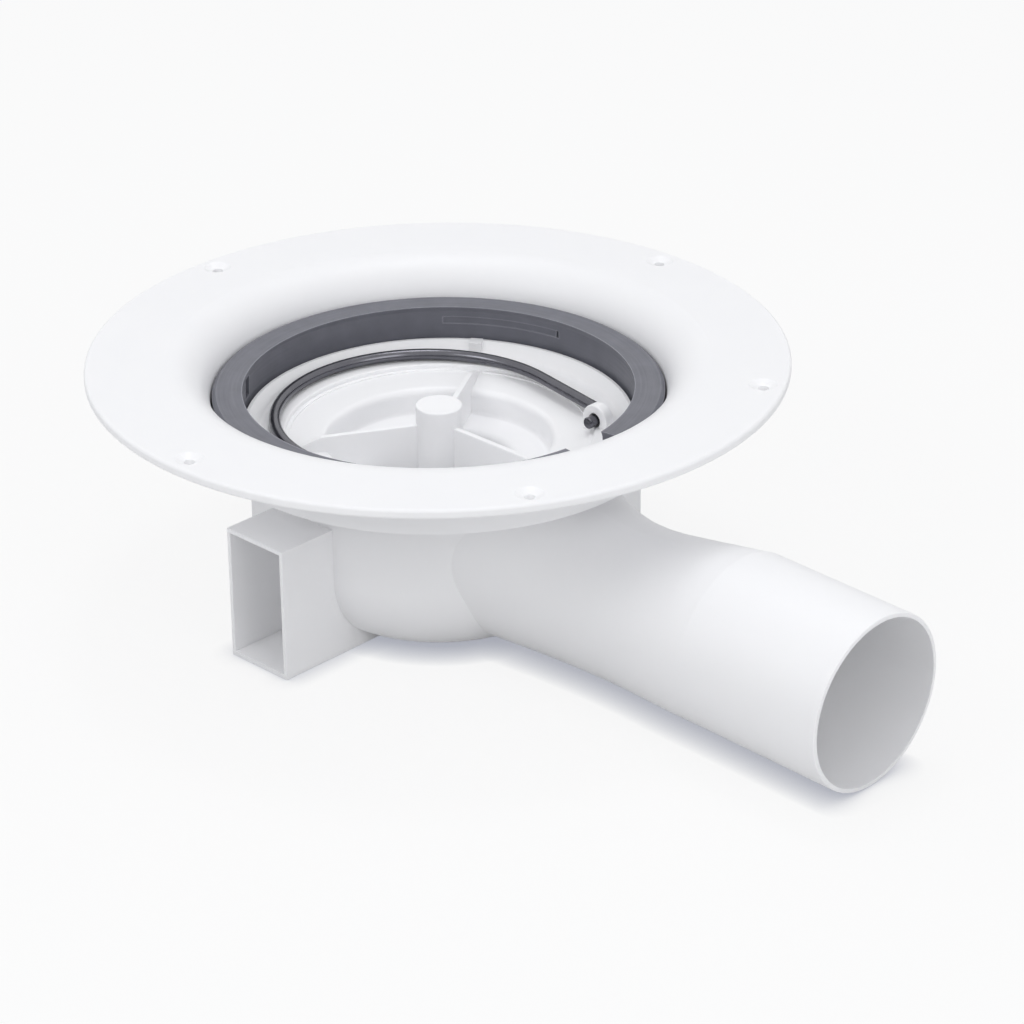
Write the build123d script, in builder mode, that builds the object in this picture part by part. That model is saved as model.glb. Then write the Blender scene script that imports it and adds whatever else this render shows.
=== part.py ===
"""A floor drain with a side outlet: moulded body, split clamp ring and a lift-out water trap.

The origin is on the drain's vertical axis, at the underside of the bowl.
+Z points up through the funnel and +X points out along the outlet. All lengths are millimetres.
"""

from build123d import *
import math
import os

os.makedirs("parts", exist_ok=True)

# Moulded body: flange, funnel and bowl
overall_height = 113.1
flange_radius = 147.4
flange_thickness = 4.1
flange_edge_round = 1.3
funnel_roll = 18.4
seat_radius = 95.7
body_wall = 2.6
bowl_radius = 70.5
bowl_base_round = 35.0

# Screw holes through the flange
screw_edge_distance = 9.4
screw_hole_radius = 2.25
screw_head_radius = 6.0
screw_head_angle = 130.0
screw_angles = (180.0, 90.0, -90.0, 30.0, -30.0)

# Outlet: a neck that leaves the bowl and widens to a standard pipe spigot, which falls to its end
outlet_radius = 37.5
outlet_wall = 1.9
outlet_fall = 1.5
outlet_end_x = 237.9
outlet_end_round = 0.6
spigot_start_x = 168.0
neck_start_x = 50.0
neck_waist_x = 112.0
neck_half_width = 32.9
neck_top_z = 69.1
neck_low_z = 2.0
neck_side_flare = 135.0
neck_bore_flare = 250.0
neck_top_flare = 75.0
neck_top_bow = 1.4
neck_wall = 2.4
neck_sections = 7

# Rectangular bracket sockets round the bowl, open on their outer end
socket_reach = 98.3
socket_width = 33.3
socket_height = 58.9
socket_wall = 1.8
socket_offset = 9.15
rear_socket_width = 42.0
socket_window_start = 64.0
socket_window_length = 8.0
socket_window_low = 9.7
socket_window_height = 3.7

# Clamp ring: split, dark, held in the funnel's seat
ring_set_down = 14.1
ring_height = 18.4
ring_seat_gap = 0.7
ring_face_width = 12.7
ring_bevel_depth = 2.4
ring_bevel_out = 0.7
ring_draft_out = 0.5
ring_edge_bevel = 1.7
ring_edge_bevel_drop = 1.2
ring_gap_angle = 15.0
ring_gap_turn = 1.2
ring_slot_depth = 0.5
ring_slot_height = 3.2
ring_slot_drop = 5.0
ring_slot_from = 96.7
ring_slot_to = 134.0
ring_notch_depth = 1.5
ring_notch_width = 1.5
ring_pocket_depth = 2.6
ring_pocket_height = 9.0
ring_pocket_width = 6.0
ring_pocket_drop = 3.4
ring_pocket_angles = (46.0, -147.0)

# Trap insert: rim, funnel, well and dip tube in one moulding
insert_wall = 2.4
insert_ring_gap = 0.3
insert_band = 1.4
insert_band_height = 3.7
insert_slope_drop = 5.1
insert_slope_run = 4.6
insert_slope_round = 2.5
insert_seat_gap = 0.2
recess_radius = 65.2
recess_step = 1.9
recess_round = 0.7
recess_shelf = 1.8
recess_shelf_step = 0.6
well_radius = 47.5
well_round = 3.0
well_cone_drop = 1.6
well_depth = 10.5
well_corner_round = 2.0
tube_inner_radius = 30.0
tube_round = 4.0
tube_floor_gap = 10.4

# Skirt under the insert, with the groove for its seal
skirt_gap = 1.6
skirt_length = 18.0
skirt_wall = 3.4
groove_depth = 1.6
groove_height = 6.0
groove_from_end = 4.0
seal_bore_gap = 0.1
seal_side_gap = 0.1
seal_lip_width = 1.1

# Central post and the ribs that hold it
post_radius = 9.9
post_wall = 2.4
post_above_rim = 10.6
post_edge_round = 0.5
rib_count = 3
rib_thickness = 2.5
rib_above_rim = 2.8
rib_flat_reach = 51.0
rib_reach = 62.5
rib_foot = 40.0
rib_end_height = 1.5
rib_root = 1.8
rib_edge_round = 0.5

# Small tab on the insert's rim
tab_angle = 123.4
tab_width = 5.5
tab_length = 5.5
tab_height = 5.5
tab_inset = 0.2
tab_root = 1.0

# Lifting bail and the two lugs that carry it
wire_radius = 2.5
bail_rest_gap = 0.3
bail_arc_radius = 62.5
bail_arc_centre_x = -10.1
bail_leg_angle = 10.0
bail_bend_radius = 4.5
bail_end_round = 0.5
hinge_x = 47.3
hinge_clearance = 0.75
pin_proud = 4.2
lug_radius = 6.8
lug_thickness = 5.0
lug_inner_y = 45.0
lug_edge_round = 0.6

# Cup that hangs from the post and holds the water
cup_radius = 54.0
cup_wall = 2.0
cup_base_round = 20.0
cup_floor_gap = 1.0
overflow_gap = 6.4
stalk_clearance = 0.3
stalk_length = 24.0

# Heights worked out from the driving ones
roll_start_z = overall_height - funnel_roll
ring_top_z = overall_height - ring_set_down
ledge_z = ring_top_z - ring_height
ledge_under_z = ledge_z - body_wall
band_top_z = ledge_z + insert_band_height
rim_top_z = band_top_z - insert_slope_drop
insert_seat_z = rim_top_z - insert_wall
seat_under_z = insert_seat_z - body_wall
hinge_z = rim_top_z + bail_rest_gap + wire_radius
shelf_z = rim_top_z - recess_step
cone_top_z = shelf_z - recess_shelf_step
cone_low_z = cone_top_z - well_cone_drop
well_floor_z = cone_low_z - well_depth
bowl_floor_z = body_wall
cup_low_z = bowl_floor_z + cup_floor_gap
cup_floor_z = cup_low_z + cup_wall
tube_low_z = cup_floor_z + tube_floor_gap
cup_rim_z = well_floor_z - insert_wall - overflow_gap
post_top_z = rim_top_z + post_above_rim
rib_top_z = rim_top_z + rib_above_rim

# Radii worked out from the driving ones
funnel_under_round = funnel_roll - body_wall
screw_circle_radius = flange_radius - screw_edge_distance
collar_radius = seat_radius + body_wall
bore_radius = bowl_radius - body_wall
base_radius = bowl_radius - bowl_base_round
ring_outer_radius = seat_radius - ring_seat_gap
ring_face_inner_radius = ring_outer_radius - ring_face_width
ring_bevel_radius = ring_face_inner_radius + ring_bevel_out
ring_foot_radius = ring_bevel_radius + ring_draft_out
insert_radius = ring_face_inner_radius - insert_ring_gap
band_inner_radius = insert_radius - insert_band
slope_foot_radius = band_inner_radius - insert_slope_run
skirt_radius = bore_radius - skirt_gap
skirt_inner_radius = skirt_radius - skirt_wall
groove_radius = skirt_radius - groove_depth
skirt_low_z = insert_seat_z - skirt_length
groove_low_z = skirt_low_z + groove_from_end
shelf_inner_radius = recess_radius - recess_shelf
tube_outer_radius = tube_inner_radius + insert_wall
post_bore_radius = post_radius - post_wall
lug_outer_y = lug_inner_y + lug_thickness
hinge_hole_radius = wire_radius + hinge_clearance

# The slope under the insert's rim runs parallel to the one on top, a wall thickness away
slope_length = math.hypot(insert_slope_run, insert_slope_drop)
slope_shift = insert_wall * (slope_length - insert_slope_run) / insert_slope_drop
seat_slope_top_radius = band_inner_radius + slope_shift + insert_seat_gap
seat_slope_foot_radius = slope_foot_radius + slope_shift + insert_seat_gap
body_slope_shift = body_wall * (slope_length - insert_slope_run) / insert_slope_drop

# Bowl and funnel as one solid of revolution, before it is hollowed
with BuildPart() as bowl_outside:
    with BuildSketch(Plane.XZ):
        with BuildLine():
            base = Line((0, 0), (base_radius, 0))
            base_arc = RadiusArc(base @ 1, (bowl_radius, bowl_base_round), -bowl_base_round)
            collar = Polyline(
                base_arc @ 1,
                (bowl_radius, seat_under_z),
                (seat_slope_foot_radius + body_slope_shift, seat_under_z),
                (seat_slope_top_radius + body_slope_shift, ledge_under_z),
                (collar_radius, ledge_under_z),
                (collar_radius, overall_height - flange_thickness - funnel_under_round),
            )
            under_round = RadiusArc(
                collar @ 1,
                (collar_radius + funnel_under_round, overall_height - flange_thickness),
                funnel_under_round,
            )
            Polyline(
                under_round @ 1,
                (flange_radius, overall_height - flange_thickness),
                (flange_radius, overall_height),
                (0, overall_height),
                (0, 0),
            )
        make_face()
    revolve(axis=Axis.Z)
    rim_edges = bowl_outside.edges().filter_by(GeomType.CIRCLE).group_by(SortBy.RADIUS)[-1]
    fillet(rim_edges, flange_edge_round)

# The same form's hollow, from the funnel's mouth to the floor of the bowl
with BuildPart() as bowl_inside:
    with BuildSketch(Plane.XZ):
        with BuildLine():
            floor = Line((0, bowl_floor_z), (base_radius, bowl_floor_z))
            floor_arc = RadiusArc(
                floor @ 1, (bore_radius, bowl_base_round), body_wall - bowl_base_round
            )
            ledges = Polyline(
                floor_arc @ 1,
                (bore_radius, insert_seat_z),
                (seat_slope_foot_radius, insert_seat_z),
                (seat_slope_top_radius, ledge_z),
                (seat_radius, ledge_z),
                (seat_radius, roll_start_z),
            )
            roll = RadiusArc(
                ledges @ 1, (seat_radius + funnel_roll, overall_height), funnel_roll
            )
            Polyline(
                roll @ 1,
                (seat_radius + funnel_roll, overall_height + body_wall),
                (0, overall_height + body_wall),
                (0, bowl_floor_z),
            )
        make_face()
    revolve(axis=Axis.Z)


def falling_plane(x):
    """Plane square to the outlet's axis, which falls gently to the spigot's end on the floor."""
    fall = math.radians(outlet_fall)
    height = outlet_radius + (outlet_end_x - x) * math.tan(fall)
    return Plane(
        origin=(x, 0, height), x_dir=(0, 1, 0), z_dir=(math.cos(fall), 0, -math.sin(fall))
    )


def flare(radius, x):
    """How far a round flare of the neck stands out from its waist, on the bowl's side of it."""
    reach = max(0.0, neck_waist_x - x)
    return radius - math.sqrt(radius**2 - reach**2)


def neck_section(x, side_flare, top_flare):
    """Half width, lowest and highest point of the neck's outside at a distance along X."""
    widening = max(0.0, (x - neck_waist_x) / (spigot_start_x - neck_waist_x))
    eased = widening**2 * (3 - 2 * widening)
    spigot_z = falling_plane(spigot_start_x).origin.Z
    half_width = neck_half_width + (outlet_radius - neck_half_width) * eased
    low = neck_low_z + (spigot_z - outlet_radius - neck_low_z) * widening
    high = neck_top_z + (spigot_z + outlet_radius - neck_top_z) * widening**neck_top_bow
    if top_flare:
        high += flare(neck_top_flare, x)
    return half_width + flare(side_flare, x), low, high


def outlet_solid(neck_skin, spigot_skin, side_flare, top_flare, end_x):
    """The outlet as one lofted and extruded form, drawn in from its outside by a skin."""
    section_step = (spigot_start_x - neck_start_x) / neck_sections
    with BuildPart() as duct:
        for number in range(neck_sections):
            section_x = neck_start_x + number * section_step
            half_width, low, high = neck_section(section_x, side_flare, top_flare)
            with BuildSketch(Plane.YZ.offset(section_x)):
                with Locations((0, (low + high) / 2)):
                    Ellipse(half_width - neck_skin, (high - low) / 2 - neck_skin)
        with BuildSketch(falling_plane(spigot_start_x)):
            Circle(outlet_radius - spigot_skin)
        loft()
        with BuildSketch(falling_plane(spigot_start_x)):
            Circle(outlet_radius - spigot_skin)
        extrude(amount=(end_x - spigot_start_x) / math.cos(math.radians(outlet_fall)))
    return duct.part


def socket_frames():
    """Each bracket socket's name, outward plane, width and height on that plane."""
    front = Plane(origin=(-socket_offset, -socket_reach, 0), x_dir=(1, 0, 0), z_dir=(0, -1, 0))
    back = Plane(origin=(socket_offset, socket_reach, 0), x_dir=(-1, 0, 0), z_dir=(0, 1, 0))
    rear = Plane(origin=(-socket_reach, 0, 0), x_dir=(0, -1, 0), z_dir=(-1, 0, 0))
    return ((front, socket_width), (back, socket_width), (rear, rear_socket_width))


socket_depth = socket_reach - base_radius
outlet_bore_end = outlet_end_x + outlet_wall

with BuildPart() as drain_body:
    add(bowl_outside.part)
    add(outlet_solid(0, 0, neck_side_flare, True, outlet_end_x))
    # Sockets: a box out of the bowl's side, hollowed as far as the bowl's own wall
    for face_plane, width in socket_frames():
        with BuildSketch(face_plane):
            Rectangle(width, socket_height, align=(Align.CENTER, Align.MIN))
        extrude(amount=-socket_depth)
    for face_plane, width in socket_frames():
        with BuildPart(mode=Mode.PRIVATE) as hollow:
            with BuildSketch(face_plane):
                with Locations((0, socket_wall)):
                    Rectangle(
                        width - 2 * socket_wall,
                        socket_height - 2 * socket_wall,
                        align=(Align.CENTER, Align.MIN),
                    )
            extrude(amount=-socket_depth)
            add(bowl_outside.part, mode=Mode.SUBTRACT)
        add(hollow.part, mode=Mode.SUBTRACT)
    # A slot through one side wall of the front and back sockets, near the bowl
    for face_plane, width in socket_frames()[:2]:
        window_depth = socket_reach - socket_window_start - socket_window_length
        with BuildSketch(face_plane.offset(-window_depth)):
            with Locations(((socket_wall - width) / 2, socket_window_low)):
                Rectangle(
                    socket_wall * 2, socket_window_height, align=(Align.CENTER, Align.MIN)
                )
        extrude(amount=-socket_window_length, mode=Mode.SUBTRACT)
    add(bowl_inside.part, mode=Mode.SUBTRACT)
    # The bore flares less than the outside, so that the wall stays whole where they join the bowl
    add(
        outlet_solid(neck_wall, outlet_wall, neck_bore_flare, False, outlet_bore_end),
        mode=Mode.SUBTRACT,
    )
    with Locations(Plane.XY.offset(overall_height)):
        with Locations(
            [
                (
                    screw_circle_radius * math.cos(math.radians(a)),
                    screw_circle_radius * math.sin(math.radians(a)),
                )
                for a in screw_angles
            ]
        ):
            CounterSinkHole(
                screw_hole_radius,
                screw_head_radius,
                depth=flange_thickness,
                counter_sink_angle=screw_head_angle,
            )
    spigot_end = drain_body.faces().filter_by(GeomType.PLANE).sort_by(Axis.X)[-1]
    fillet(spigot_end.outer_wire().edges(), outlet_end_round)
drain_body.part.label = "drain_body"
export_step(drain_body.part, "parts/drain_body.step")


def polar_plane(angle, radius, height):
    """A plane square to a radius: its x runs anticlockwise, its y up and its z outwards."""
    turn = math.radians(angle)
    return Plane(
        origin=(radius * math.cos(turn), radius * math.sin(turn), height),
        x_dir=(-math.sin(turn), math.cos(turn), 0),
        z_dir=(math.cos(turn), math.sin(turn), 0),
    )


def turned_edges(builder, radius, height):
    """The round edges of a turned form that lie at one radius and height."""
    return [
        edge
        for edge in builder.edges().filter_by(GeomType.CIRCLE)
        if math.isclose(edge.radius, radius, abs_tol=1e-3)
        and math.isclose(edge.arc_center.Z, height, abs_tol=1e-3)
    ]


# Clamp ring, cut through on the outlet's side so that it springs into the seat
gap_plane = Plane.XY.offset(ledge_z)
gap_turns = [
    math.radians(ring_gap_turn - ring_gap_angle / 2),
    math.radians(ring_gap_turn + ring_gap_angle / 2),
]
gap_reach = 2 * seat_radius

with BuildPart() as clamp_ring:
    with BuildSketch(Plane.XZ):
        with BuildLine():
            Polyline(
                (ring_foot_radius, ledge_z),
                (ring_bevel_radius, ring_top_z - ring_bevel_depth),
                (ring_face_inner_radius, ring_top_z),
                (ring_outer_radius - ring_edge_bevel, ring_top_z),
                (ring_outer_radius, ring_top_z - ring_edge_bevel_drop),
                (ring_outer_radius, ledge_z),
                close=True,
            )
        make_face()
    revolve(axis=Axis.Z)
    # A long shallow slot along the inner wall
    with BuildSketch(Plane.XZ.rotated((0, 0, ring_slot_from))):
        with Locations((ring_bevel_radius, ring_top_z - ring_slot_drop - ring_slot_height)):
            Rectangle(
                2 * ring_slot_depth, ring_slot_height, align=(Align.CENTER, Align.MIN)
            )
    revolve(axis=Axis.Z, revolution_arc=ring_slot_to - ring_slot_from, mode=Mode.SUBTRACT)
    # A deeper notch at the slot's end
    with BuildSketch(
        polar_plane(
            ring_slot_from, ring_bevel_radius, ring_top_z - ring_slot_drop - ring_slot_height / 2
        )
    ):
        Rectangle(ring_notch_width, ring_slot_height)
    extrude(amount=ring_notch_depth, both=True, mode=Mode.SUBTRACT)
    # Finger pockets in the inner wall
    for pocket_angle in ring_pocket_angles:
        with BuildSketch(
            polar_plane(
                pocket_angle,
                ring_face_inner_radius - ring_pocket_depth,
                ring_top_z - ring_pocket_drop - ring_pocket_height / 2,
            )
        ):
            Rectangle(ring_pocket_width, ring_pocket_height)
        extrude(
            amount=ring_bevel_radius - ring_face_inner_radius + 2 * ring_pocket_depth,
            mode=Mode.SUBTRACT,
        )
    with BuildSketch(gap_plane):
        Polygon(
            (0, 0),
            (gap_reach * math.cos(gap_turns[0]), gap_reach * math.sin(gap_turns[0])),
            (gap_reach * math.cos(gap_turns[1]), gap_reach * math.sin(gap_turns[1])),
            align=None,
        )
    extrude(amount=ring_height, mode=Mode.SUBTRACT)
clamp_ring.part.label = "clamp_ring"
export_step(clamp_ring.part, "parts/clamp_ring.step")

# Trap insert: one turned wall from the rim, down the well, to the end of the dip tube
well_under_z = well_floor_z - insert_wall
well_outer_radius = well_radius + insert_wall
cone_slope = well_cone_drop / (shelf_inner_radius - well_radius)


def cone_height(radius):
    """Height of the insert's shallow cone at a radius."""
    return cone_low_z + (radius - well_radius) * cone_slope


with BuildPart() as rib:
    with BuildSketch(Plane.XZ):
        with BuildLine():
            Polyline(
                (0, rib_foot),
                (tube_inner_radius + rib_root, rib_foot),
                (tube_inner_radius + rib_root, well_floor_z - rib_root),
                (well_radius + rib_root, well_floor_z - rib_root),
                (well_radius + rib_root, cone_height(well_radius + rib_root) - rib_root),
                (rib_reach, cone_height(rib_reach) - rib_root),
                (rib_reach, cone_height(rib_reach) + rib_end_height),
                (rib_flat_reach, rib_top_z),
                (0, rib_top_z),
                close=True,
            )
        make_face()
    extrude(amount=rib_thickness / 2, both=True)
    fillet(rib.faces().sort_by(Axis.Z)[-1].edges().filter_by(Axis.X), rib_edge_round)

with BuildPart() as lug:
    with BuildSketch(Plane.XZ.offset(-lug_outer_y)):
        with Locations((hinge_x, hinge_z)):
            Circle(lug_radius)
        with Locations((hinge_x, cone_low_z)):
            Rectangle(
                2 * lug_radius, hinge_z - cone_low_z, align=(Align.CENTER, Align.MIN)
            )
    extrude(amount=lug_thickness)
    fillet(
        lug.edges().filter_by(lambda edge: edge.center().Z > hinge_z + lug_edge_round),
        lug_edge_round,
    )

tab_outer_radius = insert_radius - tab_inset

with BuildPart() as tab:
    with BuildSketch(Plane.XZ):
        with BuildLine():
            Polyline(
                (tab_outer_radius - tab_length, rim_top_z - tab_root),
                (tab_outer_radius, band_top_z - tab_root),
                (tab_outer_radius, rim_top_z + tab_height),
                (tab_outer_radius - tab_length, rim_top_z + tab_height),
                close=True,
            )
        make_face()
    extrude(amount=tab_width / 2, both=True)

with BuildPart() as trap_insert:
    with BuildSketch(Plane.XZ):
        with BuildLine():
            Polyline(
                (insert_radius, ledge_z),
                (insert_radius, band_top_z),
                (band_inner_radius, band_top_z),
                (slope_foot_radius, rim_top_z),
                (recess_radius, rim_top_z),
                (recess_radius, shelf_z),
                (shelf_inner_radius, shelf_z),
                (shelf_inner_radius, cone_top_z),
                (well_radius, cone_low_z),
                (well_radius, well_floor_z),
                (tube_inner_radius, well_floor_z),
                (tube_inner_radius, tube_low_z),
                (tube_outer_radius, tube_low_z),
                (tube_outer_radius, well_under_z),
                (well_outer_radius, well_under_z),
                (well_outer_radius, cone_height(well_outer_radius) - insert_wall),
                (skirt_inner_radius, cone_height(skirt_inner_radius) - insert_wall),
                (skirt_inner_radius, skirt_low_z),
                (skirt_radius, skirt_low_z),
                (skirt_radius, groove_low_z),
                (groove_radius, groove_low_z),
                (groove_radius, groove_low_z + groove_height),
                (skirt_radius, groove_low_z + groove_height),
                (skirt_radius, insert_seat_z),
                (slope_foot_radius + slope_shift, insert_seat_z),
                (band_inner_radius + slope_shift, ledge_z),
                close=True,
            )
        make_face()
    revolve(axis=Axis.Z)
    fillet(turned_edges(trap_insert, slope_foot_radius, rim_top_z), insert_slope_round)
    fillet(turned_edges(trap_insert, recess_radius, rim_top_z), recess_round)
    fillet(turned_edges(trap_insert, well_radius, cone_low_z), well_round)
    fillet(
        turned_edges(
            trap_insert, well_outer_radius, cone_height(well_outer_radius) - insert_wall
        ),
        well_round - insert_wall,
    )
    fillet(turned_edges(trap_insert, well_radius, well_floor_z), well_corner_round)
    fillet(turned_edges(trap_insert, tube_inner_radius, well_floor_z), tube_round)
    fillet(turned_edges(trap_insert, tube_outer_radius, well_under_z), tube_round - insert_wall)
    for rib_number in range(rib_count):
        add(rib.part.rotate(Axis.Z, rib_number * 360 / rib_count))
    # Post in the middle, closed on top and open below for the cup's stalk
    with BuildSketch(Plane.XY.offset(rib_foot)):
        Circle(post_radius)
    extrude(amount=post_top_z - rib_foot)
    fillet(turned_edges(trap_insert, post_radius, post_top_z), post_edge_round)
    with BuildSketch(Plane.XY.offset(rib_foot)):
        Circle(post_bore_radius)
    extrude(amount=post_top_z - post_wall - rib_foot, mode=Mode.SUBTRACT)
    # Lugs for the bail, and a small tab on the rim
    add(lug.part)
    add(lug.part.mirror(Plane.XZ))
    add(tab.part.rotate(Axis.Z, tab_angle))
    with BuildSketch(Plane.XY.offset(skirt_low_z)):
        Circle(insert_radius)
        Circle(skirt_radius, mode=Mode.SUBTRACT)
    extrude(amount=insert_seat_z - skirt_low_z, mode=Mode.SUBTRACT)
    for lug_plane in (Plane.XZ.offset(-lug_outer_y), Plane.XZ.offset(lug_inner_y)):
        with BuildSketch(lug_plane):
            with Locations((hinge_x, hinge_z)):
                Circle(hinge_hole_radius)
        extrude(amount=lug_thickness, mode=Mode.SUBTRACT)
trap_insert.part.label = "trap_insert"
export_step(trap_insert.part, "parts/trap_insert.step")

# Cup with a stalk that stands up into the post's bore
stalk_radius = post_bore_radius - stalk_clearance
cup_inner_radius = cup_radius - cup_wall

with BuildPart() as trap_cup:
    with BuildSketch(Plane.XY.offset(cup_low_z)):
        Circle(cup_radius)
    extrude(amount=cup_rim_z - cup_low_z)
    fillet(turned_edges(trap_cup, cup_radius, cup_low_z), cup_base_round)
    with BuildPart(mode=Mode.PRIVATE) as cup_hollow:
        with BuildSketch(Plane.XY.offset(cup_floor_z)):
            Circle(cup_inner_radius)
        extrude(amount=cup_rim_z - cup_floor_z)
        fillet(
            turned_edges(cup_hollow, cup_inner_radius, cup_floor_z), cup_base_round - cup_wall
        )
    add(cup_hollow.part, mode=Mode.SUBTRACT)
    with BuildSketch(Plane.XY.offset(cup_low_z)):
        Circle(post_radius)
    extrude(amount=rib_foot - cup_low_z)
    with BuildSketch(Plane.XY.offset(rib_foot)):
        Circle(stalk_radius)
    extrude(amount=stalk_length)
trap_cup.part.label = "trap_cup"
export_step(trap_cup.part, "parts/trap_cup.step")

# Rubber ring in the skirt's groove, with two lips against the bowl
seal_inner_radius = groove_radius + seal_side_gap
seal_outer_radius = bore_radius - seal_bore_gap
seal_valley_radius = (skirt_radius + seal_outer_radius) / 2
seal_top_z = groove_low_z + groove_height - seal_side_gap

with BuildPart() as trap_seal:
    with BuildSketch(Plane.XZ):
        with BuildLine():
            Polyline(
                (seal_inner_radius, groove_low_z),
                (seal_valley_radius, groove_low_z),
                (seal_outer_radius, groove_low_z + seal_lip_width / 2),
                (seal_outer_radius, groove_low_z + seal_lip_width * 1.5),
                (seal_valley_radius, groove_low_z + seal_lip_width * 2),
                (seal_valley_radius, seal_top_z - seal_lip_width * 2),
                (seal_outer_radius, seal_top_z - seal_lip_width * 1.5),
                (seal_outer_radius, seal_top_z - seal_lip_width / 2),
                (seal_valley_radius, seal_top_z),
                (seal_inner_radius, seal_top_z),
                close=True,
            )
        make_face()
    revolve(axis=Axis.Z)
trap_seal.part.label = "trap_seal"
export_step(trap_seal.part, "parts/trap_seal.step")

# Bail: round wire in a U whose ends turn in through the lugs
leg_turn = math.radians(bail_leg_angle)
leg_start = (
    bail_arc_centre_x + bail_arc_radius * math.sin(leg_turn),
    bail_arc_radius * math.cos(leg_turn),
)
leg_end = (hinge_x, leg_start[1] - (hinge_x - leg_start[0]) * math.tan(leg_turn))
pin_end = (hinge_x, lug_inner_y - pin_proud)


def mirrored(point):
    """The same point on the bail's other leg."""
    return (point[0], -point[1])


with BuildPart() as lifting_bail:
    with BuildLine(Plane.XY.offset(hinge_z)) as bail_line:
        FilletPolyline(pin_end, leg_end, leg_start, radius=bail_bend_radius)
        ThreePointArc(
            leg_start, (bail_arc_centre_x - bail_arc_radius, 0), mirrored(leg_start)
        )
        FilletPolyline(
            mirrored(leg_start), mirrored(leg_end), mirrored(pin_end), radius=bail_bend_radius
        )
    with BuildSketch(Plane.XZ.offset(-pin_end[1])):
        with Locations((hinge_x, hinge_z)):
            Circle(wire_radius)
    sweep(path=bail_line.wires()[0])
    fillet(
        [
            edge
            for edge in lifting_bail.edges().filter_by(GeomType.CIRCLE)
            if math.isclose(abs(edge.arc_center.Y), pin_end[1], abs_tol=1e-3)
        ],
        bail_end_round,
    )
lifting_bail.part.label = "lifting_bail"
export_step(lifting_bail.part, "parts/lifting_bail.step")
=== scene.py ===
# %% [markdown]
# # A floor drain in white polypropylene
# A floor drain sits under a shower floor. A wide flange carries the floor's membrane, a funnel
# leads the water into a bowl, and a side spigot takes it to the pipe. In the funnel lies a lift-out
# trap that keeps sewer air out. This lesson takes the finished solids as they are, and gives each
# one the surface that its real process leaves: moulding, turning, drawing.
# The solids come from the frame. Nothing here moves or resizes them.

import bpy
from mathutils import Matrix, Vector


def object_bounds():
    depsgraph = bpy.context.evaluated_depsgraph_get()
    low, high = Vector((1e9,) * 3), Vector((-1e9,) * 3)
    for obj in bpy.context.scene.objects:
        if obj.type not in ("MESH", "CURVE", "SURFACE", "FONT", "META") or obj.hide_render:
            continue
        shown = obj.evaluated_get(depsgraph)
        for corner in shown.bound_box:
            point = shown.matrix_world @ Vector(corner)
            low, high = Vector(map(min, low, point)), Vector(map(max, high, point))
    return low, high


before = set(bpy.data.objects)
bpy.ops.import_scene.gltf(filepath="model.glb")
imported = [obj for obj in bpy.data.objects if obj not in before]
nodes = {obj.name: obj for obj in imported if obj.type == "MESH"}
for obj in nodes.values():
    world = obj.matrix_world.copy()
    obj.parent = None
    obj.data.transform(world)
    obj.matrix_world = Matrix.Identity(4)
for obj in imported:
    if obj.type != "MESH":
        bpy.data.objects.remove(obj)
solid_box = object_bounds()
MM = 0.001
print("pieces:", sorted(nodes))

# %% [markdown]
# ## The camera
# A product picture of a drain is taken from standing height, a little to the side of the outlet, with a
# long lens that keeps the round flange from looking stretched. The eye's place and the two directions
# below say where such a camera stands, and the third direction is square to both. A camera looks along
# its own -Z, with +Y up, so its matrix has the right, up and backward directions as columns.

# %% Camera
SENSOR_WIDTH_MM = 36.0
LENS_MM = 128.14
CLIP_END = 20.0
EYE = Vector((995.445, -974.569, 731.940)) * MM
FORWARD = Vector((-0.62598744, 0.64004697, -0.44551049))
UP = Vector((-0.30417605, 0.32563846, 0.89522987))

camera_data = bpy.data.cameras.new("camera")
camera_data.sensor_width = SENSOR_WIDTH_MM
camera_data.lens = LENS_MM
camera_data.clip_end = CLIP_END
camera = bpy.data.objects.new("camera", camera_data)
bpy.context.scene.collection.objects.link(camera)
back = -FORWARD.normalized()
right = UP.cross(back).normalized()
up = back.cross(right)
axes = Matrix((right, up, back)).transposed().to_4x4()
camera.matrix_world = Matrix.Translation(EYE) @ axes
bpy.context.scene.camera = camera
print("camera to drain:", round(EYE.length, 3), "m")

# %% [markdown]
# ## Colours
# Colours are written as sRGB hex values, as on a paint card. A shader wants linear light, so one
# function turns a hex value into the four numbers of a colour socket.


# %% Hex to linear
def linear(hex_colour):
    """A colour socket's four numbers for an sRGB hex value."""
    parts = [int(hex_colour[i : i + 2], 16) / 255 for i in (0, 2, 4)]
    return tuple(p / 12.92 if p <= 0.04045 else ((p + 0.055) / 1.055) ** 2.4 for p in parts) + (1.0,)


print("mid grey:", [round(v, 3) for v in linear("808080")])

# %% [markdown]
# ## One helper for nodes
# Every material below is a small graph. Writing each node in one call, with its settings and what
# feeds it, keeps the graph readable: the name of a setting goes in as a word, and a socket takes
# a number, a colour or the output of another node. A third small function puts a finished material
# on a solid.


# %% Add a node
def add_node(tree, kind, inputs=None, **settings):
    """A node of one kind with its settings; inputs maps a socket to a value or another node's output."""
    node = tree.nodes.new(kind)
    for name, value in settings.items():
        setattr(node, name, value)
    for name, value in (inputs or {}).items():
        if isinstance(value, bpy.types.NodeSocket):
            tree.links.new(value, node.inputs[name])
        else:
            node.inputs[name].default_value = value
    return node


def new_material(name):
    """An empty node material and its output node."""
    material = bpy.data.materials.new(name)
    material.use_nodes = True
    material.node_tree.nodes.clear()
    output = add_node(material.node_tree, "ShaderNodeOutputMaterial")
    return material, output


def dress(node_name, material):
    """Gives every slot of a solid the same material."""
    mesh = nodes[node_name].data
    if not mesh.materials:
        mesh.materials.append(material)
    for index in range(len(mesh.materials)):
        mesh.materials[index] = material
    print(node_name, "wears", material.name)


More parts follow.
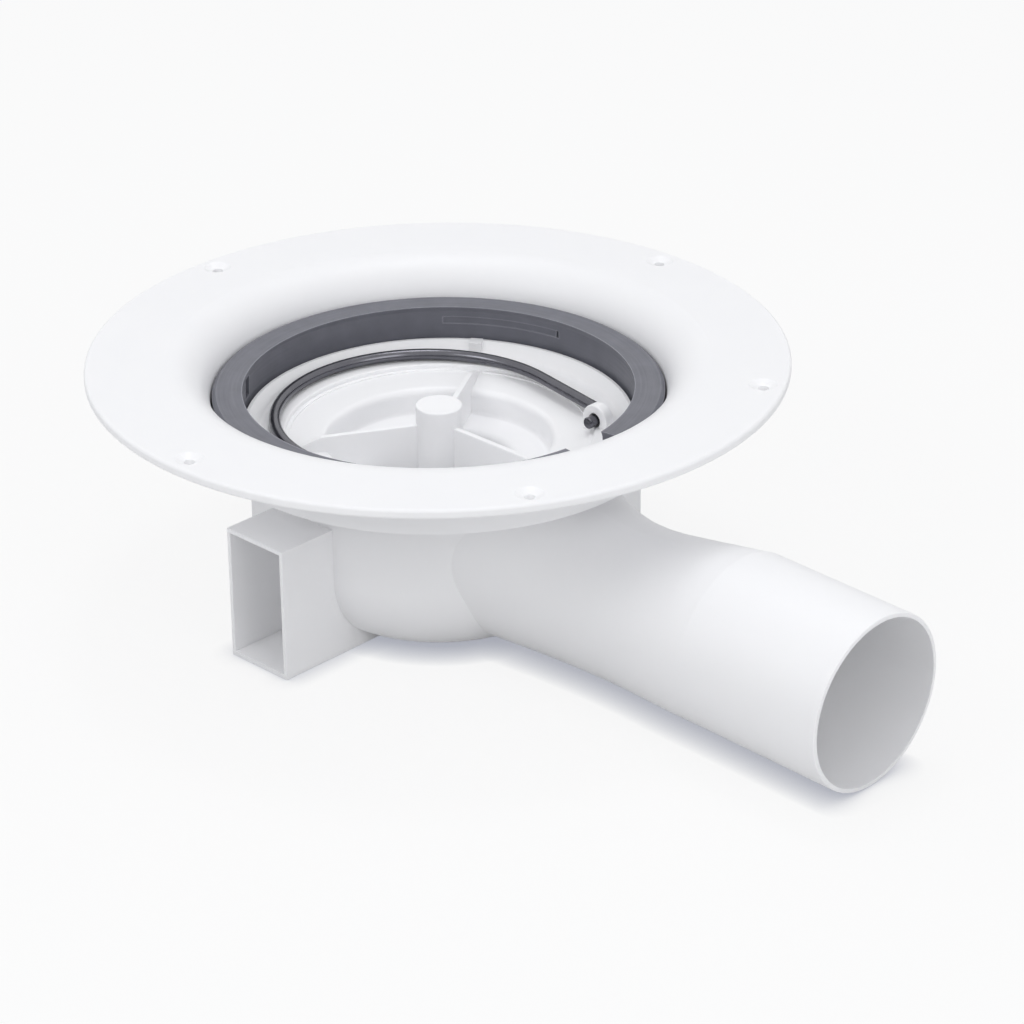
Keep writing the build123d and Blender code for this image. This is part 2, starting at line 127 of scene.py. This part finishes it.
# %% [markdown]
# ## Lines that run round
# The clamp ring's mould is turned on a lathe, and the bail's wire is pulled through a die and then bent.
# Both leave fine lines that run round an upright axis: the drain's own for the ring, the bend's for the
# wire. Noise gives such lines when it changes fast across them and slowly along them. So its first
# coordinate is the distance from the axis plus the height, in line widths, and the other two are the
# plain place in long steps. Unlike an angle, this has no seam.


# %% Noise in round lines
def round_lines(tree, centre_x, line_width, run_length):
    """Noise drawn out into lines round an upright axis at centre_x, all in metres."""
    place = add_node(tree, "ShaderNodeTexCoord").outputs["Object"]
    moved = add_node(
        tree, "ShaderNodeVectorMath", {0: place, 1: (centre_x, 0.0, 0.0)}, operation="SUBTRACT"
    ).outputs["Vector"]
    flat = add_node(
        tree, "ShaderNodeVectorMath", {0: moved, 1: (1.0, 1.0, 0.0)}, operation="MULTIPLY"
    ).outputs["Vector"]
    reach = add_node(tree, "ShaderNodeVectorMath", {0: flat}, operation="LENGTH").outputs["Value"]
    parts = add_node(tree, "ShaderNodeSeparateXYZ", {0: moved})
    across = add_node(tree, "ShaderNodeMath", {0: reach, 1: parts.outputs["Z"]}, operation="ADD")
    run = add_node(
        tree,
        "ShaderNodeCombineXYZ",
        {"X": across.outputs[0], "Y": parts.outputs["X"], "Z": parts.outputs["Y"]},
    )
    steps = add_node(
        tree,
        "ShaderNodeVectorMath",
        {0: run.outputs[0], 1: (1 / line_width, 1 / run_length, 1 / run_length)},
        operation="MULTIPLY",
    )
    return add_node(
        tree, "ShaderNodeTexNoise", {"Vector": steps.outputs["Vector"], "Scale": 1.0, "Detail": 2.0}
    )


# %% [markdown]
# ## White polypropylene, injection moulded
# The body, the trap insert and its cup are moulded in white polypropylene. The mould is polished
# but not bright, so the skin is satin: a broad soft highlight, no mirror image. Cooling leaves very
# slow waves a few centimetres long, and the tool's fine eroded grain shows as faint mottling of the
# gloss. Polypropylene also lets a little light in, which softens its edges. Here noise at three
# scales, all from real sizes, drives colour, roughness and bump, and a weak subsurface gives that
# softness. Nearly all of Blender's noise lies between 0.3 and 0.7, so that range is spread over
# the gloss of each material.

# %% Moulded polypropylene
NOISE_LOW = 0.3
NOISE_HIGH = 0.7

WAVE_MM = 28.0
WAVE_DEPTH_MM = 0.4
WAVE_STRENGTH = 0.12
SPECK_MM = 3.5
GRAIN_MM = 0.9
GRAIN_DEPTH_MM = 0.05
GRAIN_STRENGTH = 0.1
DULLER = 0.06
GLOSSIER = 0.05
POLYPROPYLENE_IOR = 1.49
LIGHT_DEPTH_MM = 1.5


def moulded_white(name, base_hex, shade_hex, roughness, softness):
    """Satin white polypropylene with slow sink waves and a fine moulded grain."""
    material, output = new_material(name)
    tree = material.node_tree
    place = add_node(tree, "ShaderNodeTexCoord").outputs["Object"]
    waves = add_node(
        tree, "ShaderNodeTexNoise", {"Vector": place, "Scale": 1 / (WAVE_MM * MM), "Detail": 2.0}
    )
    grain = add_node(
        tree, "ShaderNodeTexNoise", {"Vector": place, "Scale": 1 / (GRAIN_MM * MM), "Detail": 3.0}
    )
    specks = add_node(
        tree, "ShaderNodeTexNoise", {"Vector": place, "Scale": 1 / (SPECK_MM * MM), "Detail": 4.0}
    )
    tint = add_node(
        tree,
        "ShaderNodeMix",
        {"Factor": waves.outputs["Fac"], 6: linear(base_hex), 7: linear(shade_hex)},
        data_type="RGBA",
    )
    gloss = add_node(
        tree,
        "ShaderNodeMapRange",
        {
            "Value": specks.outputs["Fac"],
            "From Min": NOISE_LOW,
            "From Max": NOISE_HIGH,
            "To Min": roughness - GLOSSIER,
            "To Max": roughness + DULLER,
        },
    )
    wave_bump = add_node(
        tree,
        "ShaderNodeBump",
        {
            "Height": waves.outputs["Fac"],
            "Strength": WAVE_STRENGTH,
            "Distance": WAVE_DEPTH_MM * MM,
        },
    )
    grain_bump = add_node(
        tree,
        "ShaderNodeBump",
        {
            "Height": grain.outputs["Fac"],
            "Strength": GRAIN_STRENGTH,
            "Distance": GRAIN_DEPTH_MM * MM,
            "Normal": wave_bump.outputs["Normal"],
        },
    )
    shader = add_node(
        tree,
        "ShaderNodeBsdfPrincipled",
        {
            "Base Color": tint.outputs[2],
            "Roughness": gloss.outputs["Result"],
            "Normal": grain_bump.outputs["Normal"],
            "IOR": POLYPROPYLENE_IOR,
            "Subsurface Weight": softness,
            "Subsurface Radius": (1.0, 1.0, 1.0),
            "Subsurface Scale": LIGHT_DEPTH_MM * MM,
        },
    )
    tree.links.new(shader.outputs["BSDF"], output.inputs["Surface"])
    return material


body_white = moulded_white("polypropylene_white_moulded", "FAFAFB", "F6F6F8", 0.42, 0.4)
insert_white = moulded_white("polypropylene_insert_moulded", "FBFBFC", "F8F8FA", 0.36, 0.35)
cup_white = moulded_white("polypropylene_cup_moulded", "F6F6F7", "F1F1F3", 0.45, 0.1)
dress("drain_body", body_white)
dress("trap_insert", insert_white)
dress("trap_cup", cup_white)

# %% [markdown]
# ## Dark grey polypropylene, talc filled
# The clamp ring is moulded in a filled grade, which is stiffer and duller than the plain one. The
# filler gives a matt skin with a slightly cloudy grey, and the mould's turning marks run round it. Its
# edges are painted lighter, which is a painted highlight along them. A Bevel node's normal differs
# from the true one only near an edge, and that difference marks the edges.

# %% Filled dark plastic
CLOUD_MM = 9.0
FILLER_MM = 0.7
FILLER_DEPTH_MM = 0.06
FILLER_STRENGTH = 0.25
TURNING_MM = 0.8
TURNING_RUN_MM = 40.0
TURNING_DEPTH_MM = 0.06
TURNING_STRENGTH = 0.3
RING_ROUGHNESS = (0.36, 0.54)
FILLED_IOR = 1.5
# EDGE_MM and the two numbers below set where the edges get their painted highlight and how strongly.
EDGE_MM = 0.9
EDGE_LIKENESS = (0.995, 0.85)
EDGE_HIGHLIGHT = 0.7


def filled_grey(name, dark_hex, light_hex, edge_highlight_hex):
    """Matt dark plastic, cloudy from its filler, with a painted highlight along its edges."""
    material, output = new_material(name)
    tree = material.node_tree
    place = add_node(tree, "ShaderNodeTexCoord").outputs["Object"]
    clouds = add_node(
        tree, "ShaderNodeTexNoise", {"Vector": place, "Scale": 1 / (CLOUD_MM * MM), "Detail": 5.0}
    )
    filler = add_node(
        tree, "ShaderNodeTexNoise", {"Vector": place, "Scale": 1 / (FILLER_MM * MM), "Detail": 2.0}
    )
    turning = round_lines(tree, 0.0, TURNING_MM * MM, TURNING_RUN_MM * MM)
    true_normal = add_node(tree, "ShaderNodeNewGeometry").outputs["Normal"]
    edge_normal = add_node(tree, "ShaderNodeBevel", {"Radius": EDGE_MM * MM}, samples=4)
    likeness = add_node(
        tree,
        "ShaderNodeVectorMath",
        {0: true_normal, 1: edge_normal.outputs["Normal"]},
        operation="DOT_PRODUCT",
    )
    edge = add_node(
        tree,
        "ShaderNodeMapRange",
        {
            "Value": likeness.outputs["Value"],
            "From Min": EDGE_LIKENESS[0],
            "From Max": EDGE_LIKENESS[1],
            "To Max": EDGE_HIGHLIGHT,
        },
    )
    cloudy = add_node(
        tree,
        "ShaderNodeMix",
        {"Factor": clouds.outputs["Fac"], 6: linear(dark_hex), 7: linear(light_hex)},
        data_type="RGBA",
    )
    # Here the edges are mixed towards a lighter grey, which is a painted highlight.
    edge_highlit = add_node(
        tree,
        "ShaderNodeMix",
        {"Factor": edge.outputs["Result"], 6: cloudy.outputs[2], 7: linear(edge_highlight_hex)},
        data_type="RGBA",
    )
    gloss = add_node(
        tree,
        "ShaderNodeMapRange",
        {
            "Value": turning.outputs["Fac"],
            "From Min": NOISE_LOW,
            "From Max": NOISE_HIGH,
            "To Min": RING_ROUGHNESS[0],
            "To Max": RING_ROUGHNESS[1],
        },
    )
    turning_bump = add_node(
        tree,
        "ShaderNodeBump",
        {
            "Height": turning.outputs["Fac"],
            "Strength": TURNING_STRENGTH,
            "Distance": TURNING_DEPTH_MM * MM,
        },
    )
    filler_bump = add_node(
        tree,
        "ShaderNodeBump",
        {
            "Height": filler.outputs["Fac"],
            "Strength": FILLER_STRENGTH,
            "Distance": FILLER_DEPTH_MM * MM,
            "Normal": turning_bump.outputs["Normal"],
        },
    )
    shader = add_node(
        tree,
        "ShaderNodeBsdfPrincipled",
        {
            "Base Color": edge_highlit.outputs[2],
            "Roughness": gloss.outputs["Result"],
            "Normal": filler_bump.outputs["Normal"],
            "IOR": FILLED_IOR,
        },
    )
    tree.links.new(shader.outputs["BSDF"], output.inputs["Surface"])
    return material


# A4A5AD is the colour of the painted edge highlight.
dress("clamp_ring", filled_grey("polypropylene_grey_talc_filled", "5F6068", "72737C", "A4A5AD"))

# %% [markdown]
# ## Stainless steel wire, drawn
# The bail is wire pulled through a die, which leaves hair-fine lines along its length and a
# fairly bright skin. The lines are far finer than a pixel, so they are drawn as coarse as they need
# to show. Steel takes its colour from what it reflects.

# %% Drawn wire
WIRE_CLOUD_MM = 6.0
DIE_LINE_MM = 0.7
DIE_RUN_MM = 30.0
DIE_LINE_DEPTH_MM = 0.04
DIE_LINE_STRENGTH = 0.25
WIRE_ROUGHNESS = (0.14, 0.3)
BEND_CENTRE_MM = -10.0


def drawn_wire(name, dark_hex, light_hex):
    """Bright steel wire with the die's lines along its bend, slightly clouded."""
    material, output = new_material(name)
    tree = material.node_tree
    place = add_node(tree, "ShaderNodeTexCoord").outputs["Object"]
    clouds = add_node(
        tree, "ShaderNodeTexNoise", {"Vector": place, "Scale": 1 / (WIRE_CLOUD_MM * MM), "Detail": 4.0}
    )
    die_lines = round_lines(tree, BEND_CENTRE_MM * MM, DIE_LINE_MM * MM, DIE_RUN_MM * MM)
    steel = add_node(
        tree,
        "ShaderNodeMix",
        {"Factor": clouds.outputs["Fac"], 6: linear(dark_hex), 7: linear(light_hex)},
        data_type="RGBA",
    )
    gloss = add_node(
        tree,
        "ShaderNodeMapRange",
        {
            "Value": die_lines.outputs["Fac"],
            "From Min": NOISE_LOW,
            "From Max": NOISE_HIGH,
            "To Min": WIRE_ROUGHNESS[0],
            "To Max": WIRE_ROUGHNESS[1],
        },
    )
    bump = add_node(
        tree,
        "ShaderNodeBump",
        {
            "Height": die_lines.outputs["Fac"],
            "Strength": DIE_LINE_STRENGTH,
            "Distance": DIE_LINE_DEPTH_MM * MM,
        },
    )
    shader = add_node(
        tree,
        "ShaderNodeBsdfPrincipled",
        {
            "Base Color": steel.outputs[2],
            "Metallic": 1.0,
            "Roughness": gloss.outputs["Result"],
            "Normal": bump.outputs["Normal"],
        },
    )
    tree.links.new(shader.outputs["BSDF"], output.inputs["Surface"])
    return material


dress("lifting_bail", drawn_wire("stainless_steel_wire_drawn", "5E5E64", "727278"))

# %% [markdown]
# ## Black rubber, moulded
# The seal is pressed from black rubber. It is matt, with a faint grey bloom.

# %% Seal rubber
BLOOM_MM = 4.0
BLOOM_DEPTH_MM = 0.1
BLOOM_STRENGTH = 0.2
RUBBER_ROUGHNESS = 0.7


def moulded_rubber(name, dark_hex, light_hex):
    """Matt black rubber with a faint bloom."""
    material, output = new_material(name)
    tree = material.node_tree
    place = add_node(tree, "ShaderNodeTexCoord").outputs["Object"]
    bloom = add_node(
        tree, "ShaderNodeTexNoise", {"Vector": place, "Scale": 1 / (BLOOM_MM * MM), "Detail": 5.0}
    )
    black = add_node(
        tree,
        "ShaderNodeMix",
        {"Factor": bloom.outputs["Fac"], 6: linear(dark_hex), 7: linear(light_hex)},
        data_type="RGBA",
    )
    bump = add_node(
        tree,
        "ShaderNodeBump",
        {
            "Height": bloom.outputs["Fac"],
            "Strength": BLOOM_STRENGTH,
            "Distance": BLOOM_DEPTH_MM * MM,
        },
    )
    shader = add_node(
        tree,
        "ShaderNodeBsdfPrincipled",
        {
            "Base Color": black.outputs[2],
            "Roughness": RUBBER_ROUGHNESS,
            "Normal": bump.outputs["Normal"],
        },
    )
    tree.links.new(shader.outputs["BSDF"], output.inputs["Surface"])
    return material


dress("trap_seal", moulded_rubber("rubber_black_moulded", "1C1C1D", "2A2A2B"))

# %% [markdown]
# ## Floor
# The drain stands on white studio card, which is pale and takes the lamps' shadow. To the camera most of
# it is plain white. Where an Ambient Occlusion node finds the drain within about a centimetre, the card
# is darkened: the short dark line of contact is a painted contact shadow.

# %% Floor
FLOOR_SIZE = 6.0
FLOOR_DROP_MM = 0.2
CARD_LIFT = 0.85
# The two numbers below set the reach and the depth of the painted contact shadow.
CONTACT_SHADOW_MM = 11.0
CONTACT_SHADOW_SHUT = 0.1

floor_mesh = bpy.data.meshes.new("studio_floor")
half = FLOOR_SIZE / 2
low = solid_box[0][2] - FLOOR_DROP_MM * MM
floor_mesh.from_pydata(
    [(-half, -half, low), (half, -half, low), (half, half, low), (-half, half, low)],
    [],
    [(0, 1, 2, 3)],
)
floor = bpy.data.objects.new("studio_floor", floor_mesh)
bpy.context.scene.collection.objects.link(floor)


def studio_card(name, card_hex, contact_shadow_hex):
    """White card that the camera sees lifted towards white, with a painted contact shadow near the
    drain.
    """
    material, output = new_material(name)
    tree = material.node_tree
    card = add_node(tree, "ShaderNodeBsdfDiffuse", {"Color": linear(card_hex)})
    contact = add_node(
        tree, "ShaderNodeAmbientOcclusion", {"Distance": CONTACT_SHADOW_MM * MM}, samples=16
    )
    openness = add_node(
        tree, "ShaderNodeMapRange", {"Value": contact.outputs["AO"], "From Min": CONTACT_SHADOW_SHUT}
    )
    # The card's colour is darkened near the drain here, which is a painted contact shadow.
    painted_contact_shadow = add_node(
        tree,
        "ShaderNodeMix",
        {"Factor": openness.outputs["Result"], 6: linear(contact_shadow_hex), 7: linear("FFFFFF")},
        data_type="RGBA",
    )
    lifted = add_node(
        tree, "ShaderNodeEmission", {"Color": painted_contact_shadow.outputs[2], "Strength": 1.0}
    )
    rays = add_node(tree, "ShaderNodeLightPath")
    lift = add_node(
        tree,
        "ShaderNodeMath",
        {0: rays.outputs["Is Camera Ray"], 1: CARD_LIFT},
        operation="MULTIPLY",
    )
    mixed = add_node(
        tree, "ShaderNodeMixShader", {0: lift.outputs[0], 1: card.outputs[0], 2: lifted.outputs[0]}
    )
    tree.links.new(mixed.outputs[0], output.inputs["Surface"])
    return material


# B2B5C0 is the colour of the painted contact shadow.
floor_mesh.materials.append(studio_card("studio_card_white", "E6E6E6", "B2B5C0"))
print("floor at", round(low, 5))

# %% [markdown]
# ## Background
# Seen straight by the camera, or mirrored in the wire, the world is plain white. For everything else it
# is a soft grey dome, brighter overhead than at the horizon, as in a room with a lit ceiling.

# %% World
HORIZON_STRENGTH = 0.25
ZENITH_STRENGTH = 0.96

world = bpy.data.worlds.new("studio")
bpy.context.scene.world = world
world.use_nodes = True
sky = world.node_tree
sky.nodes.clear()
rays = add_node(sky, "ShaderNodeLightPath")
seen_or_mirrored = add_node(
    sky,
    "ShaderNodeMath",
    {0: rays.outputs["Is Camera Ray"], 1: rays.outputs["Is Glossy Ray"]},
    operation="MAXIMUM",
)
plainly_seen = add_node(
    sky,
    "ShaderNodeMath",
    {0: seen_or_mirrored.outputs[0], 1: rays.outputs["Is Transmission Ray"]},
    operation="MAXIMUM",
)
sky_place = add_node(sky, "ShaderNodeTexCoord").outputs["Generated"]
height = add_node(sky, "ShaderNodeSeparateXYZ", {0: sky_place}).outputs["Z"]
sky_strength = add_node(
    sky,
    "ShaderNodeMapRange",
    {"Value": height, "To Min": HORIZON_STRENGTH, "To Max": ZENITH_STRENGTH},
)
dome = add_node(
    sky,
    "ShaderNodeBackground",
    {"Color": linear("FBFCFF"), "Strength": sky_strength.outputs["Result"]},
)
plain = add_node(sky, "ShaderNodeBackground", {"Color": linear("FFFFFF"), "Strength": 1.0})
mixed = add_node(
    sky, "ShaderNodeMixShader", {0: plainly_seen.outputs[0], 1: dome.outputs[0], 2: plain.outputs[0]}
)
add_node(sky, "ShaderNodeOutputWorld", {"Surface": mixed.outputs[0]})
print("dome from", HORIZON_STRENGTH, "at the horizon to", ZENITH_STRENGTH, "overhead")

# %% [markdown]
# ## Light
# A soft box hangs above and a little behind the drain and draws a bright line along the wire. A
# second one stands in front on the left and looks into the funnel, so that its far wall and the ribs
# aren't lost in shade. A third looks into the outlet. The dome fills the rest.


# %% Soft boxes
def soft_box(name, place, aim, size, power):
    """A square area lamp at a place, turned to an aim point; metres and watts."""
    data = bpy.data.lights.new(name, "AREA")
    data.shape = "SQUARE"
    data.size = size
    data.energy = power
    lamp = bpy.data.objects.new(name, data)
    bpy.context.scene.collection.objects.link(lamp)
    direction = Vector(aim) - Vector(place)
    lamp.rotation_mode = "QUATERNION"
    lamp.rotation_quaternion = direction.to_track_quat("-Z", "Y")
    lamp.location = place
    print(name, power, "W")


soft_box("overhead_box", (-0.25, 0.35, 1.85), (0.0, 0.0, 0.05), 0.45, 4.0)
soft_box("front_box", (-0.15, -1.4, 1.15), (0.0, 0.0, 0.06), 0.7, 5.0)
soft_box("outlet_fill", (1.4, -0.3, 0.75), (0.1, 0.0, 0.06), 0.8, 4.0)

# %% [markdown]
# ## Finish
# The colours have to come out as written, so the view transform is the plain one. The box of the
# solids is printed.

# %% Sizes
bpy.context.scene.view_settings.view_transform = "Standard"
print("solids", [[round(v, 4) for v in corner] for corner in solid_box])
